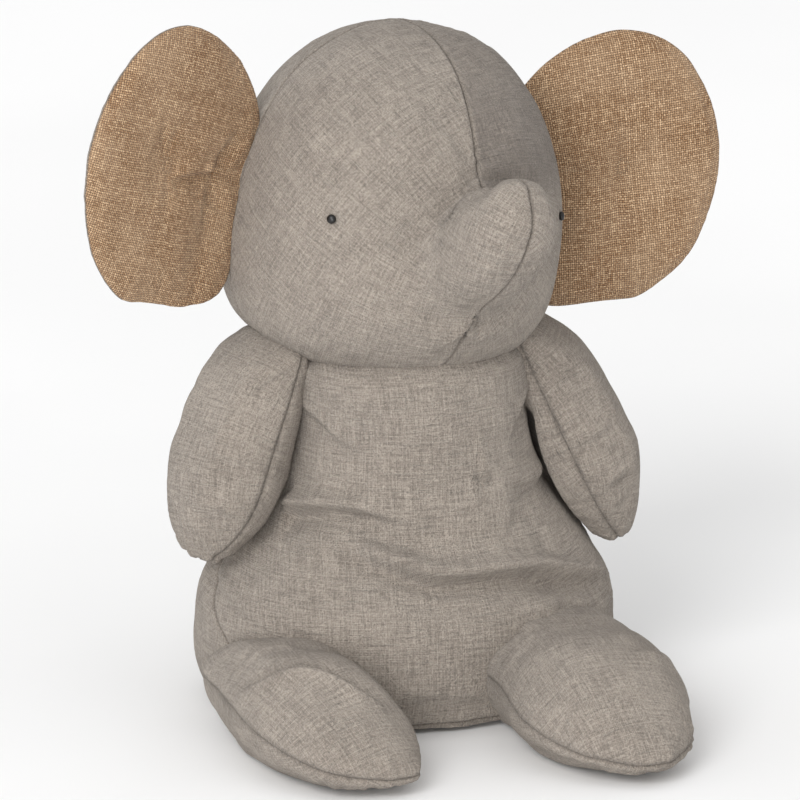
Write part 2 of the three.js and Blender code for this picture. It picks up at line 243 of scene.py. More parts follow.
def finer(obj):
    """Halves every cell and rounds the new points off."""
    with editing(obj) as bm:
        bmesh.ops.subdivide_edges(bm, edges=bm.edges, cuts=1, use_grid_fill=True)
    relax(obj, np.full(len(obj.data.vertices), 0.8), 1)


def outward(obj):
    """Turns the faces of a closed mesh so that they look out."""
    with editing(obj) as bm:
        if bm.calc_volume(signed=True) < 0:
            bmesh.ops.reverse_faces(bm, faces=bm.faces)
    return obj


RELAX_STEP = 0.6  # how far one round moves a point towards its neighbours' middle


def relax(obj, weight, rounds):
    """Smooths a mesh where weight is 1 and leaves it where it is 0."""
    mesh = obj.data
    edges = np.empty(len(mesh.edges) * 2, int)
    mesh.edges.foreach_get("vertices", edges)
    edges = edges.reshape(-1, 2)
    count = np.bincount(edges.ravel(), minlength=len(mesh.vertices))[:, None]
    points = points_of(obj)
    for _ in range(rounds):
        total = np.zeros_like(points)
        np.add.at(total, edges[:, 0], points[edges[:, 1]])
        np.add.at(total, edges[:, 1], points[edges[:, 0]])
        points += (total / np.maximum(count, 1) - points) * RELAX_STEP * weight[:, None]
    move_to(obj, points)


HUB_CELLS = 20  # a point where more cells than this meet is a hub
HUB_REACH = 11.0


def calm_hubs(obj):
    """Smooths the cloth round each point where many cells meet."""
    ends = np.array([e.vertices[:] for e in obj.data.edges])
    points = points_of(obj)
    hubs = points[np.bincount(ends.ravel(), minlength=len(points)) > HUB_CELLS]
    if len(hubs):
        distance = np.linalg.norm(points[:, None] - hubs[None], axis=2).min(1)
        relax(obj, np.exp(-((distance / HUB_REACH) ** 2)), 40)


# ---- Seams ----

SEAM_HALF_WIDTH = 0.55
SEAM_DEPTH = 1.5
SEAM_SHADE_WIDTH = 0.75  # how far the dirt and shadow in a seam reach
SNAP = 0.28  # points nearer to a cut than this share of a cell are moved onto it
SLOPE_STEP = 0.05


def cut_seam(obj, level):
    """Cuts the mesh along the surface where level(points) is 0, and marks the cut as a seam.

    level is linear enough over one cell for each crossed edge to be cut in proportion.
    """
    with editing(obj) as bm:
        bm.verts.ensure_lookup_table()
        points = np.array([v.co for v in bm.verts]) / MM
        value = level(points)
        # A point that is nearly on the seam is moved onto it, so that no sliver is left.
        near = np.abs(value) < SNAP * CLOTH_CELL
        steps = SLOPE_STEP * np.eye(3)
        slope = np.stack([(level(points + step) - value) / SLOPE_STEP for step in steps], -1)
        moved = points - slope * (value / np.maximum((slope**2).sum(1), 1e-6))[:, None]
        for i in np.flatnonzero(near):
            bm.verts[i].co = Vector(moved[i] * MM)
        value = np.where(near, 0.0, value)
        on = set(np.flatnonzero(near).tolist())
        crossed = []
        for edge in bm.edges:
            a, b = edge.verts[0].index, edge.verts[1].index
            if value[a] * value[b] < 0:
                crossed.append((edge, edge.verts[0], value[a] / (value[a] - value[b])))
        fresh = {bmesh.utils.edge_split(edge, vert, share)[1] for edge, vert, share in crossed}
        on_seam = {v for v in bm.verts if v.index in on and v not in fresh} | fresh
        for face in list(bm.faces):
            ends = [v for v in face.verts if v in on_seam]
            if len(ends) == 2 and not any(ends[1] in e.verts for e in ends[0].link_edges):
                bmesh.utils.face_split(face, *ends)
        for edge in bm.edges:
            if edge.verts[0] in on_seam and edge.verts[1] in on_seam:
                edge.seam = True


def seam_points(obj):
    """The points of the seams' ends and middles."""
    points = points_of(obj)
    ends = np.array([e.vertices[:] for e in obj.data.edges if e.use_seam], int)
    return np.concatenate([points[np.unique(ends)], points[ends].mean(1)])


def nearest(points, targets):
    """The target nearest to each point, and how far it is."""
    tree = KDTree(len(targets))
    for i, target in enumerate(targets):
        tree.insert(Vector(target), i)
    tree.balance()
    found = [tree.find(Vector(point)) for point in points]
    return targets[[f[1] for f in found]], np.array([f[2] for f in found])


def sew(obj, depth=SEAM_DEPTH, ridge=0.35, pucker=0.5, reach=7.0, pitch=5.0, more=None):
    """Turns the seam edges into narrow grooves with gathers that run away from them."""
    line = seam_points(obj)
    with editing(obj) as bm:
        bmesh.ops.bevel(
            bm, geom=[e for e in bm.edges if e.seam], offset=SEAM_HALF_WIDTH * MM, segments=2,
            profile=0.5, affect="EDGES", clamp_overlap=True, loop_slide=True,
        )
    points = points_of(obj)
    normals = normals_of(obj)
    seam, distance = nearest(points, line)
    along = grain(seam, pitch, 1.0) + 0.6 * grain(seam, pitch * 0.45, 2.0)
    strength = 0.35 + 0.65 * smooth(grain(seam, 34.0, 3.0), -0.45, 0.5)
    if more is not None:
        strength = strength + more(seam)
    # The gathers are strongest a little way off the seam and fade out.
    spread = (distance / reach) * np.exp(1 - distance / reach) * (distance < 4 * reach)
    lift = (
        -depth * np.exp(-((distance / (SEAM_HALF_WIDTH * 0.9)) ** 2))
        + ridge * np.exp(-(((distance - 2.4) / 1.5) ** 2)) * (0.7 + 0.5 * along)
        + pucker * along * strength * spread
    )
    move_to(obj, points + normals * lift[:, None])
    paint(obj, "seam", np.exp(-((distance / SEAM_SHADE_WIDTH) ** 2)))


def paint(obj, name, values):
    """Stores a value for each point for the materials to read."""
    obj.data.attributes.new(name, "FLOAT", "POINT").data.foreach_set("value", values.astype(np.float32))


# ---- Folds ----


def fold(obj, line, depth, width, bulge=0.5, above=(0, 0, 1), ends=(0.3, 0.3)):
    """Presses a crease along a line of points, with the cloth swelling over it on one side.

    The line is laid on the nearest cloth, and fades in and out over the two shares in ends.
    """
    points = points_of(obj)
    normals = normals_of(obj)
    line, _ = nearest(line, points)
    curve = through(
        np.column_stack([np.arange(len(line)), line]), np.linspace(0, len(line) - 1, len(line) * 12)
    )
    gap = np.linalg.norm(points[:, None] - curve[None], axis=2)
    which = gap.argmin(1)
    distance = gap.min(1)
    share = which / (len(curve) - 1)
    fade = smooth(share, 0, ends[0]) * smooth(1 - share, 0, ends[1])
    side = np.sign((points - curve[which]) @ np.asarray(above, float))
    # Across the crease: a steep wall under the swollen side, and a gentle slope up the other.
    across = side * distance / width
    press = np.where(across > 0, np.exp(-((across / 0.3) ** 2)), np.exp(-((across / 1.2) ** 2)))
    swell = bulge * np.exp(-(((across - 0.55) / 0.7) ** 2)) * smooth(across, -0.1, 0.45)
    lift = 0.75 * depth * (swell - press) * fade
    move_to(obj, points + normals * lift[:, None])
    relax(obj, 0.7 * np.exp(-((distance / 2.5) ** 2)) * fade, 1)


def lumps(obj, small=0.35, large=0.9, seed=0.0):
    """Uneven stuffing under the cloth."""
    points = points_of(obj)
    lift = large * grain(points, 38.0, seed + 5) + small * grain(points, 14.0, seed + 6)
    move_to(obj, points + normals_of(obj) * lift[:, None])


# ---- Stuffing: a short cloth simulation that lets each cover swell ----


STUFF_FRAMES = 18
GATHER_REACH = 5.0  # how far from a seam the cloth is drawn in
CLOTH_SETTINGS = {
    "quality": 5,
    "mass": 0.15,
    "tension_stiffness": 25,
    "compression_stiffness": 25,
    "shear_stiffness": 10,
    "bending_stiffness": 0.3,
    "air_damping": 4,
    "use_pressure": True,
    "vertex_group_shrink": "gather",
    "shrink_min": 0.0,
}


def stuff(obj, pressure, cap, gather):
    """Swells a closed cover, with its seams drawn a little shorter than its cloth.

    gather is the share that the seams draw in, and no point moves further than cap.
    """
    before = points_of(obj)
    _, distance = nearest(before, seam_points(obj))
    shrink = obj.vertex_groups.new(name="gather")
    for i in np.flatnonzero(distance < GATHER_REACH):
        shrink.add([int(i)], 1 - distance[i] / GATHER_REACH, "REPLACE")
    modifier = obj.modifiers.new("cloth", "CLOTH")
    for key, value in CLOTH_SETTINGS.items():
        setattr(modifier.settings, key, value)
    modifier.settings.uniform_pressure_force = pressure
    modifier.settings.shrink_max = gather
    modifier.settings.effector_weights.gravity = 0
    modifier.collision_settings.use_collision = False
    modifier.point_cache.frame_start = 1
    modifier.point_cache.frame_end = STUFF_FRAMES
    for number in range(1, STUFF_FRAMES + 1):
        scene.frame_set(number)
    step = points_of(evaluated(obj)) - before
    obj.modifiers.clear()
    obj.vertex_groups.clear()
    scene.frame_set(1)
    length = np.linalg.norm(step, axis=1, keepdims=True)
    step *= np.minimum(1, cap / np.maximum(length, 1e-6))
    move_to(obj, before + step)
    calm_hubs(obj)


# ---- Torso ----

NECK_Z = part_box("torso_front")[1][2] / MM
TORSO_TOP = NECK_Z + 8
TORSO_PROFILE = [  # height, half the width, front-to-back over side-to-side
    (0, 90, 0.80),
    (4, 95, 0.80),
    (14, 100, 0.80),
    (38, 102, 0.80),
    (55, 99.5, 0.80),
    (72, 89, 0.80),
    (93, 74, 0.82),
    (111, 65, 0.86),
    (130, 60, 0.90),
    (152, 58.5, 0.95),
    (NECK_Z - 4, 58, 0.97),
    (NECK_Z + 2, 56, 0.97),
    (TORSO_TOP, 49, 0.97),
]
TORSO_LEAN = [(0, -1.5), (60, -1), (90, 0), (130, 0), (180, -3.5)]  # how far each level stands aside
SIDE_SEAM = [(0, 58), (20, 64), (40, 77), (60, 90), (80, 97), (180, 97)]  # height, degrees round
TORSO_COLUMNS = 176  # half for the front panel and a quarter for each back panel
TORSO_POWER = 2.15  # how square the rings are: 2 makes ellipses
CLOSING_SHARES = (0.86, 0.7, 0.52, 0.33, 0.15)  # the sizes of the rings that close the two ends
TOP_RISE = 5.0
SEAT_SEAM_RING = 2


def torso_reach(turn, height):
    """The torso's radius at an angle round from the front."""
    shape = through(TORSO_PROFILE, height)
    wide, deep = shape[..., 0], shape[..., 0] * shape[..., 1]
    s, c = np.sin(turn), np.cos(turn)
    return (np.abs(s / wide) ** TORSO_POWER + np.abs(c / deep) ** TORSO_POWER) ** (-1 / TORSO_POWER)


def torso_heights():
    """The rings' heights, one cell apart along the profile."""
    height = np.linspace(0, TORSO_TOP, 400)
    half = through(TORSO_PROFILE, height)[:, 0]
    length = np.concatenate([[0], np.cumsum(np.hypot(np.diff(half), np.diff(height)))])
    return np.interp(np.linspace(0, length[-1], int(length[-1] / CLOTH_CELL)), length, height)


def torso_ring(height):
    """One ring. The front panel keeps half of the columns, wherever the side seams are."""
    columns = np.arange(TORSO_COLUMNS) / TORSO_COLUMNS * 360
    front = (columns <= 90) | (columns >= 270)
    signed = np.where(columns > 180, columns - 360, columns)
    seam = float(through(SIDE_SEAM, height))
    back_share = (np.abs(signed) - 90) / 90
    back_turn = np.sign(signed + 0.01) * (seam + back_share * (180 - seam))
    turn = np.radians(np.where(front, signed * seam / 90, back_turn))
    level = np.full_like(turn, height)
    radius = torso_reach(turn, level)
    lean = float(through(TORSO_LEAN, height))
    return np.column_stack([radius * np.sin(turn) + lean, -radius * np.cos(turn), level])


def close_end(points, faces, uvs, outer, level, flip):
    """Closes the ring of points numbered in outer with smaller rings and a point."""
    rim = np.array([points[i] for i in outer])
    middle = rim.mean(0)
    n = len(outer)

    def add(face):
        faces.append(face[:1] + face[:0:-1] if flip else face)
        uvs.append(np.array([points[i][:2] for i in faces[-1]]) * MM)

    for share in CLOSING_SHARES:
        ring = mix(middle, rim, share)
        ring[:, 2] = rim[:, 2] + level * (1 - share**2)
        inner = [len(points) + c for c in range(n)]
        points.extend(ring.tolist())
        for c in range(n):
            d = (c + 1) % n
            add((outer[c], outer[d], inner[d], inner[c]))
        outer = inner
    middle[2] = rim[0, 2] + level
    points.append(middle.tolist())
    for c in range(n):
        add((outer[c], outer[(c + 1) % n], len(points) - 1))


def make_torso():
    grid = np.stack([torso_ring(height) for height in torso_heights()])
    rows, n = grid.shape[:2]
    quarter = n // 4
    faces, uvs = [], []
    ring = np.linalg.norm(np.diff(np.concatenate([grid, grid[:, :1]], 1), axis=1), axis=2)
    around = np.cumsum(np.concatenate([np.zeros((rows, 1)), ring, ring], 1), axis=1)
    up = running_length(grid[:, 0])
    for r in range(rows - 1):
        for c in range(n):
            d = (c + 1) % n
            faces.append((r * n + c, r * n + d, (r + 1) * n + d, (r + 1) * n + c))
            # The cloth is measured from its own panel's middle: the front's or the back's.
            base = (0, n // 2, n // 2, n)[c // quarter]
            corners = ((r, c), (r, c + 1), (r + 1, c + 1), (r + 1, c))
            uvs.append(np.array([(around[i, j] - around[i, base], up[i]) for i, j in corners]) * MM)
    points = grid.reshape(-1, 3).tolist()
    close_end(points, faces, uvs, list(range(n)), 0.0, True)
    close_end(points, faces, uvs, list(range((rows - 1) * n, rows * n)), TOP_RISE, False)
    obj = new_object("torso_cover", points, faces, uvs=uvs)
    for edge in obj.data.edges:
        a, b = sorted(edge.vertices)
        if b < rows * n:
            upright = a % n == b % n and a % n in (quarter, 2 * quarter, 3 * quarter)
            edge.use_seam = upright or a // n == b // n == SEAT_SEAM_RING
    return obj


def on_torso(round_degrees, height):
    turn = math.radians(round_degrees)
    radius = float(torso_reach(turn, height))
    lean = float(through(TORSO_LEAN, height))
    return radius * math.sin(turn) + lean, -radius * math.cos(turn), height


TORSO_FOLDS = [  # degrees round and height along the crease; depth, width, swell and fading ends
    ([(-78, 98), (-60, 103), (-44, 103), (-26, 100), (-8, 97)], 9.0, 7.5, 0.9, (0.06, 0.6)),
    ([(-46, 90), (-36, 85), (-22, 78), (-4, 73), (14, 73), (34, 70), (54, 63), (70, 58), (84, 56)],
     10.5, 8.0, 0.9, (0.3, 0.35)),
    ([(-32, 70), (-16, 66), (0, 62), (14, 64)], 1.8, 9.0, 0.7, (0.4, 0.4)),
    ([(84, 112), (64, 106), (46, 108), (30, 116)], 3.6, 8.0, 0.6, (0.25, 0.5)),
    ([(-84, 150), (-66, 142), (-50, 134), (-38, 131)], 2.4, 6.5, 0.7, (0.1, 0.5)),
    ([(84, 150), (64, 146), (50, 138), (42, 128)], 2.8, 7.0, 0.7, (0.1, 0.5)),
    ([(12, 150), (16, 134), (19, 118), (18, 106)], 2.0, 5.5, 0.9, (0.4, 0.4)),
    ([(-8, 122), (-3, 110), (0, 100), (2, 92)], 1.2, 7.0, 0.8, (0.4, 0.4)),
    ([(-96, 66), (-84, 60), (-66, 52), (-48, 44)], 2.2, 8.0, 0.8, (0.2, 0.5)),
    ([(150, 110), (170, 104), (190, 104), (212, 110)], 2.6, 9.0, 0.8, (0.4, 0.4)),
    ([(120, 70), (145, 64), (170, 66)], 2.2, 9.0, 0.8, (0.4, 0.4)),
    ([(196, 82), (218, 74), (240, 76)], 2.0, 8.0, 0.8, (0.4, 0.4)),
]
HIP_SEAMS = [  # the front panel's short sewn lines over the legs
    [(-70, 58), (-60, 55), (-50, 50), (-39, 42), (-31, 36)],
    [(37, 49), (41, 56), (51, 54), (62, 50), (72, 52)],
]


def crease_torso(obj):
    for line, depth, width, swell, ends in TORSO_FOLDS:
        fold(obj, [on_torso(a, z) for a, z in line], depth, width, swell, ends=ends)
    for line in HIP_SEAMS:
        fold(obj, [on_torso(a, z) for a, z in line], 1.3, 1.5, 0.2, ends=(0.05, 0.15))


# ---- A cover of two panels sewn round one outline ----


def pillow(name, outline, middle, rise, place, rings):
    """Two panels over one flat outline. rise(u, v, s) gives both panels' heights, where s is 0 in
    the middle and 1 at the seam, and place turns flat (u, v, height) into points."""
    middle = np.asarray(middle, float)
    n = len(outline)
    even = np.linspace(0, 1, rings + 1)[1:]
    shares = 0.5 * np.sin(np.linspace(0, math.pi / 2, rings + 1))[1:] + 0.5 * even
    shares[-1] = 1
    layers = ([], [])  # each panel's rings, from the middle out
    for s in shares:
        u, v = (middle + s * (outline - middle)).T
        high, low = rise(u, v, s)
        for layer, height in zip(layers, (high, -low)):
            layer.append(place(u, v, height))
    points, index = [], ([], [])
    for k, layer in enumerate(layers):
        # The second panel shares the first one's rim.
        for ring in layer[: rings - k]:
            index[k].append(np.arange(n) + len(points))
            points.extend(ring.tolist())
    rim = index[0][-1]
    index[1].append(rim)
    faces, panels, uvs = [], [], []
    out = (outline - middle) / np.linalg.norm(outline - middle, axis=1, keepdims=True)
    for k, layer in enumerate(layers):
        u, v = middle[None].T
        high, low = rise(u, v, 0.0)
        centre = place(u, v, (high, -low)[k])[0]
        hub = len(points)
        points.append(centre.tolist())
        steps = np.diff(np.stack([np.repeat(centre[None], n, 0)] + layer), axis=0)
        arc = np.concatenate([np.zeros((1, n)), np.cumsum(np.linalg.norm(steps, axis=2), 0)])
        cloth = arc[..., None] * out[None] * MM
        for i in range(rings):
            for c in range(n):
                d = (c + 1) % n
                inner, outer = index[k][max(i - 1, 0)], index[k][i]
                if i == 0:
                    face, where = [hub, outer[c], outer[d]], [(0, c), (1, c), (1, d)]
                else:
                    face = [inner[c], outer[c], outer[d], inner[d]]
                    where = [(i, c), (i + 1, c), (i + 1, d), (i, d)]
                if k == 1:
                    face, where = face[::-1], where[::-1]
                faces.append([int(v) for v in face])
                panels.append(k)
                uvs.append(np.array([cloth[w] for w in where]))
    obj = outward(new_object(name, points, faces, panels, uvs))
    for edge in obj.data.edges:
        edge.use_seam = all(rim[0] <= v <= rim[-1] for v in edge.vertices)
    return obj


def closed_outline(corners, count):
    """A smooth closed outline through corner points, evenly spaced."""
    corners = np.asarray(corners, float)
    k = len(corners)
    around = np.concatenate([corners[-3:], corners, corners[:3]])
    fine = through(np.column_stack([np.arange(len(around)), around]), np.linspace(3, k + 3, 1200))
    return evenly(fine, count)


def evenly(loop, count):
    length = running_length(loop)
    wanted = np.linspace(0, length[-1], count + 1)[:-1]
    return np.column_stack([np.interp(wanted, length, loop[:, i]) for i in (0, 1)])


def carry(obj, turn, shift):
    """Moves a finished piece from its own frame into the toy's."""
    move_to(obj, points_of(obj) @ np.asarray(turn).T + np.asarray(shift))
    return obj


SETTLE_BELOW = 3.0


def settle(obj):
    """Spreads the underside flat on the floor: what is lower than a height nears 0 instead."""
    points = points_of(obj)
    low = points[:, 2] < SETTLE_BELOW
    points[low, 2] = SETTLE_BELOW * np.exp((points[low, 2] - SETTLE_BELOW) / SETTLE_BELOW)
    move_to(obj, points)


# ---- Arms ----

SHOULDER = {"right": np.array([-67.0, 6.0, 176.0]), "left": np.array([57.0, 3.0, 175.0])}
ARM_LONG = {"right": 1.04, "left": 1.10}
ARM_SPLAY = {"right": 22.0, "left": 23.5}  # degrees out, then forward and about its own length
ARM_FORWARD, ARM_TOE_IN = 8.0, 20.0
ARM_GAP = 0.8  # from the torso
ARM_BEND = (-8, 46)  # two distances down the arm from the shoulder, given to bend
ARM_OUTLINE = [  # back is positive, then down from the shoulder
    (-24, -4), (-30, 12), (-32, 36), (-32, 60), (-29, 82), (-18, 99), (-3, 106),
    (14, 102), (26, 88), (32, 66), (32, 42), (30, 18), (22, -5), (0, -10),
]
ARM_THICK = [(-12, 9), (5, 17), (30, 22), (70, 24), (92, 23), (104, 18), (110, 14)]
ARM_FOLDS = [(58, 50, 1.6), (84, 92, 1.3)]  # how low each crease starts and ends, and its depth


def arm_hang(side, sign):
    return rotation("Y", -sign * ARM_SPLAY[side]) @ rotation("X", -ARM_FORWARD)


def make_arm(side, sign):
    def rise(u, v, s):
        height = through(ARM_THICK, v) * max(1 - s**3.4, 0) ** 0.6
        return height, height

    def place(u, v, h):
        return np.column_stack([h * sign, u, -v * ARM_LONG[side]])

    obj = pillow(f"arm_{side}_cover", closed_outline(ARM_OUTLINE, 104), (0, 48), rise, place, 20)
    stuff(obj, pressure=2.5, cap=3.0, gather=0.07)
    finer(obj)
    lumps(obj, large=1.2, seed=20 + sign)
    for front, back, depth in ARM_FOLDS:
        line = [(6, -30, -front), (18, -18, -front - 2), (22, -4, (-front - back) / 2)]
        fold(obj, [(x * sign, y, z) for x, y, z in line], depth, 6.0, 0.8)

    def tip(seam):
        return 0.9 * smooth(-seam[:, 2], 70, 100)

    sew(obj, pucker=0.75, reach=6.5, pitch=4.5, more=tip)
    turn = arm_hang(side, sign) @ rotation("Z", -sign * ARM_TOE_IN)
    carry(obj, turn, SHOULDER[side])
    # The inner side lies against the torso.
    points = points_of(obj)
    turn_at = np.arctan2(points[:, 0], -points[:, 1])
    reach = np.hypot(points[:, 0], points[:, 1])
    surface = torso_reach(turn_at, np.clip(points[:, 2], 0, NECK_Z)) + ARM_GAP
    hang = smooth(NECK_Z - points[:, 2], 18, 36)
    scale = mix(1.0, np.maximum(reach, surface) / np.maximum(reach, 1e-6), hang)
    points[:, :2] *= scale[:, None]
    move_to(obj, points)
    return obj


# ---- Legs ----

HIP_Y = -30.0
LEG_HALF_WIDTHS = [(-12, 26), (0, 32), (40, 37), (85, 38), (112, 33), (132, 23), (144, 9)]
LEG_TOPS = [(-12, 16), (10, 18), (60, 19), (95, 26), (120, 29), (144, 20)]
LEG_SEAM_Z = [(-12, 28), (60, 30), (95, 23), (120, 15), (144, 9)]
LEG_COURSES = {  # how far the leg's middle lies from the toy's, along the leg
    "right": [(-12, 74), (20, 81), (60, 81), (95, 77), (120, 68), (146, 54)],
    "left": [(-12, 52), (20, 54), (60, 54), (95, 54), (120, 57), (146, 63)],
}
LEG_LONG = {"right": 0.925, "left": 1.07}
LEG_WIDE = {"right": 1.03, "left": 1.19}
LEG_HIGH = {"right": 1.05, "left": 1.18}
LEG_BEND = [(0, -42, 24), (0, -88, 24)]  # two points on the leg, given to bend
LEG_FOLDS = {  # x, y and z along each crease on a leg's top; then its depth and width
    "right": [
        ([(-112, -92, 30), (-98, -104, 42), (-82, -118, 48), (-68, -130, 46), (-52, -134, 36)], 5.0, 6.5),
        ([(-110, -72, 34), (-92, -78, 46), (-74, -86, 49)], 3.2, 7.0),
    ],
    "left": [
        ([(14, -96, 34), (30, -92, 45), (50, -92, 49), (72, -98, 46)], 3.0, 8.0),
        ([(88, -110, 34), (74, -126, 44), (60, -136, 46)], 2.2, 7.0),
    ],
}


def leg_outline():
    v = np.linspace(-12, 144, 60)
    half = through(LEG_HALF_WIDTHS, v)
    side = np.column_stack([half, v])
    toe = [(5, 146.2), (0, 147), (-5, 146.2)]
    root = [(-12, -17), (0, -19), (12, -17)]
    return evenly(np.concatenate([side, toe, (side * (-1, 1))[::-1], root, side[:1]]), 116)


def make_leg(side, sign):
    course, long = LEG_COURSES[side], LEG_LONG[side]

    def rise(u, v, s):
        top = through(LEG_TOPS, v) * LEG_HIGH[side] * max(1 - s**2.7, 0) ** 0.58
        under = through(LEG_SEAM_Z, v) * max(1 - s**3.2, 0) ** 0.45 * 1.02
        return top, under

    def place(u, v, h):
        v = np.broadcast_to(v, u.shape)
        middle = through(course, v)
        slope = (through(course, v + 1) - through(course, v - 1)) / 2
        x = middle + u * LEG_WIDE[side]
        y = HIP_Y - v * long + u * slope * 0.8
        return np.column_stack([x * sign, y, through(LEG_SEAM_Z, v) + h])

    obj = pillow(f"leg_{side}_cover", leg_outline(), (0, 68), rise, place, 22)
    stuff(obj, pressure=2.5, cap=3.0, gather=0.07)
    finer(obj)
    lumps(obj, large=1.2, seed=30 + sign)
    for line, depth, width in LEG_FOLDS[side]:
        fold(obj, line, depth, width, 0.9, above=(0, -1, 0))

    def toe(seam):
        return smooth(-seam[:, 1], 140, 172)

    sew(obj, pucker=0.75, reach=7.0, pitch=5.0, more=toe)
    settle(obj)
    return obj


# ---- Head and trunk ----

HEAD_RADIUS, HEAD_ABOVE, HEAD_BELOW = 83.5, 101.0, 68.0
CROWN_POWER, CHEEK_POWER = 2.1, 2.8
HEAD_TURN = rotation("Z", 12) @ rotation("Y", 7)
HEAD_MIDDLE = HEAD_TURN @ np.array([0.0, 12.0, 57.0]) + np.array([-9.0, 0.0, NECK_Z + 0.6])
EAR_SEAM_Y = 10.0
TRUNK = [  # forward, up, across, front-to-back: stations along the trunk's middle line
    (30, -26, 28, 27),
    (50, -17, 31, 29),
    (70, -3, 29, 27),
    (89, 9, 27.5, 25.5),
    (103, 21, 25, 23),
    (110, 32, 21.5, 20),
    (110.5, 41.5, 16.5, 15),
    (109, 48.5, 9.5, 9),
    (108.5, 51, 1.8, 1.8),
]


TRUNK_CREASE = [  # where the trunk's top meets the face
    (-40, -62, -8), (-28, -76, 10), (-14, -80, 26), (0, -80, 33), (14, -80, 26), (28, -76, 10),
    (40, -62, -8),
]
TRUNK_ROOT = (0, -82, -4)
TRUNK_AHEAD, TRUNK_BEND = (0, -1.0, 0.25), 30  # which way it leaves the face, and a distance along that way, given to bend


def egg_profile(count):
    turn = np.linspace(-math.pi / 2, math.pi / 2, count)
    power = np.where(turn < 0, CHEEK_POWER, CROWN_POWER)
    reach = HEAD_RADIUS * np.cos(turn) ** (2 / power)
    height = np.where(turn < 0, HEAD_BELOW, HEAD_ABOVE)
    return reach, np.sign(turn) * np.abs(np.sin(turn)) ** (2 / power) * height


def rings_mesh(rings):
    """A closed mesh over stacked rings, with a point at each end."""
    count, n = len(rings), len(rings[0])
    points = [p for ring in rings for p in ring] + [np.mean(rings[0], 0), np.mean(rings[-1], 0)]
    faces = []
    for r in range(count - 1):
        for c in range(n):
            d = (c + 1) % n
            faces.append((r * n + c, r * n + d, (r + 1) * n + d, (r + 1) * n + c))
    last = (count - 1) * n
    for c in range(n):
        d = (c + 1) % n
        faces.append((count * n, d, c))
        faces.append((count * n + 1, last + c, last + d))
    return np.array(points), faces


def head_form():
    turn = circle(120)
    reach, rise = egg_profile(120)
    egg = [
        np.column_stack([r * np.sin(turn), -r * np.cos(turn), np.full_like(turn, z)])
        for r, z in zip(reach[1:-1], rise[1:-1])
    ]
    egg_points, egg_faces = rings_mesh(egg)
    steps = np.linspace(0, len(TRUNK) - 1, 90)
    path = through(np.column_stack([np.arange(len(TRUNK)), TRUNK]), steps)
    ahead = np.gradient(path[:, :2], axis=0)
    ahead /= np.linalg.norm(ahead, axis=1, keepdims=True)
    trunk = []
    for (forward, up, across, deep), (af, au) in zip(path, ahead):
        # Around the middle line: across the face, and square to the line in its own plane.
        f = forward - au * deep * np.cos(turn)
        z = up + af * deep * np.cos(turn)
        trunk.append(np.column_stack([across * np.sin(turn), -f, z]))
    trunk_points, trunk_faces = rings_mesh(trunk)
    shift = len(egg_points)
    faces = egg_faces + [tuple(i + shift for i in f) for f in trunk_faces]
    obj = new_object("head_cover", np.concatenate([egg_points, trunk_points]), faces)
    outward(obj)
    return with_modifier(obj, "REMESH", mode="VOXEL", voxel_size=CLOTH_CELL * MM, adaptivity=0.0)


PANEL_SHIFT = 0.37  # keeps the panels' yarns from lining up


def unwrap(obj, bias):
    """Lays each panel flat at its real size, with its threads bias degrees from running up."""
    for o in bpy.context.selected_objects:
        o.select_set(False)
    bpy.context.view_layer.objects.active = obj
    obj.select_set(True)
    obj.data.uv_layers.new(name="cloth")
    bpy.ops.object.mode_set(mode="EDIT")
    bpy.ops.mesh.select_all(action="SELECT")
    bpy.ops.uv.unwrap(method="ANGLE_BASED", margin=0.01)
    bpy.ops.object.mode_set(mode="OBJECT")
    mesh = obj.data
    panel = panels_of(obj)
    uv = np.empty(len(mesh.loops) * 2)
    mesh.uv_layers[0].data.foreach_get("uv", uv)
    uv = uv.reshape(-1, 2)
    points = points_of(obj)
    count = panel.max() + 1
    area_uv, area_3d, rise = np.zeros(count), np.zeros(count), np.zeros((count, 2))
    for face in mesh.polygons:
        a, b, c = face.loop_indices[:3]
        du = np.array([uv[b] - uv[a], uv[c] - uv[a]])
        cross = du[0, 0] * du[1, 1] - du[0, 1] * du[1, 0]
        p = points[[mesh.loops[i].vertex_index for i in (a, b, c)]]
        k = panel[face.index]
        area_uv[k] += abs(cross) / 2
        area_3d[k] += np.linalg.norm(np.cross(p[1] - p[0], p[2] - p[0])) / 2
        if abs(cross) > 1e-14:
            rise[k] += np.linalg.solve(du, p[1:, 2] - p[0, 2]) * abs(cross)
    loop_panel = np.repeat(panel, [face.loop_total for face in mesh.polygons])
    for k in range(count):
        here = loop_panel == k
        scale = math.sqrt(area_3d[k] / area_uv[k]) * MM
        angle = math.pi / 2 - math.atan2(rise[k, 1], rise[k, 0]) + math.radians(bias)
        c, s = math.cos(angle), math.sin(angle)
        flat = uv[here] - uv[here].mean(0)
        uv[here] = flat @ np.array([[c, s], [-s, c]]) * scale + k * PANEL_SHIFT
    mesh.uv_layers[0].data.foreach_set("uv", uv.ravel())


def panels_of(obj):
    """Numbers the faces by the panel that they lie in, with seams between panels."""
    bm = bmesh.new()
    bm.from_mesh(obj.data)
    bm.faces.ensure_lookup_table()
    number = -np.ones(len(bm.faces), int)
    count = 0
    for start in bm.faces:
        if number[start.index] >= 0:
            continue
        stack = [start]
        number[start.index] = count
        while stack:
            face = stack.pop()
            for edge in face.edges:
                if edge.seam:
                    continue
                for other in edge.link_faces:
                    if number[other.index] < 0:
                        number[other.index] = count
                        stack.append(other)
        count += 1
    bm.free()
    return number


